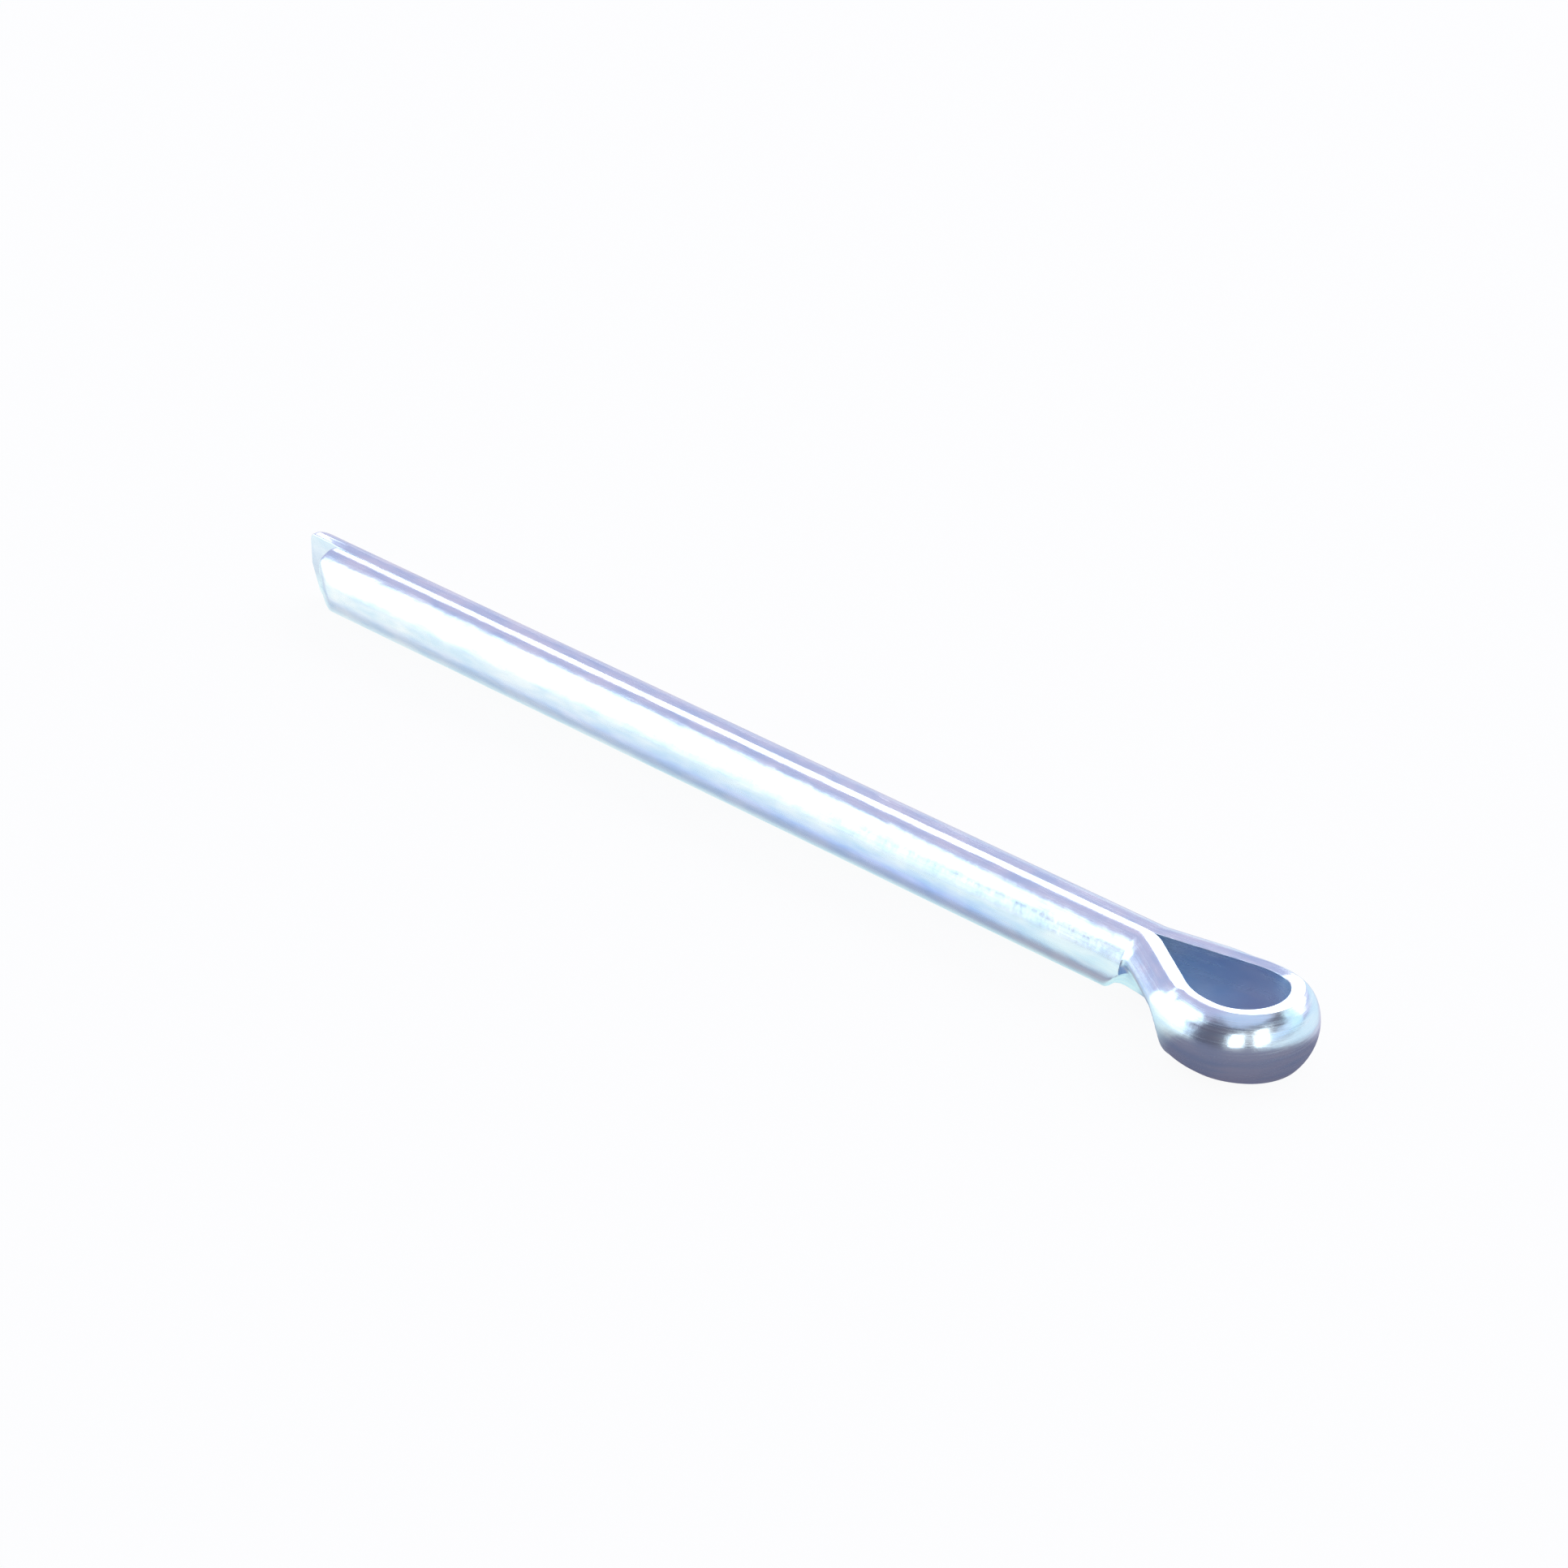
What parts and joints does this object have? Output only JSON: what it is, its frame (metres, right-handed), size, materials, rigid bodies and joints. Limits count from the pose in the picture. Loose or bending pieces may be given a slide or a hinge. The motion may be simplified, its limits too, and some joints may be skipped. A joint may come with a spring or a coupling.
{
  "type": "cotter pin",
  "caption": "Split cotter pin folded from half-round wire, with a looped eye and two legs that are bent apart behind a cross-drilled hole to lock a pin, nut or shaft.",
  "frame": {"origin": "on the shank's centre line, in the plane of the shoulder that the short leg's length is measured from", "axes": "+X along the shank towards the eye, +Z along the eye's axis, so the pin lies on its side; the short leg is on the -Y side"},
  "size_m": [0.0544, 0.0055, 0.0028],
  "materials": {
    "zinc_steel": "polished"
  },
  "bodies": {
    "root": {"cotter_pin": "zinc_steel"}
  },
  "joints": []
}
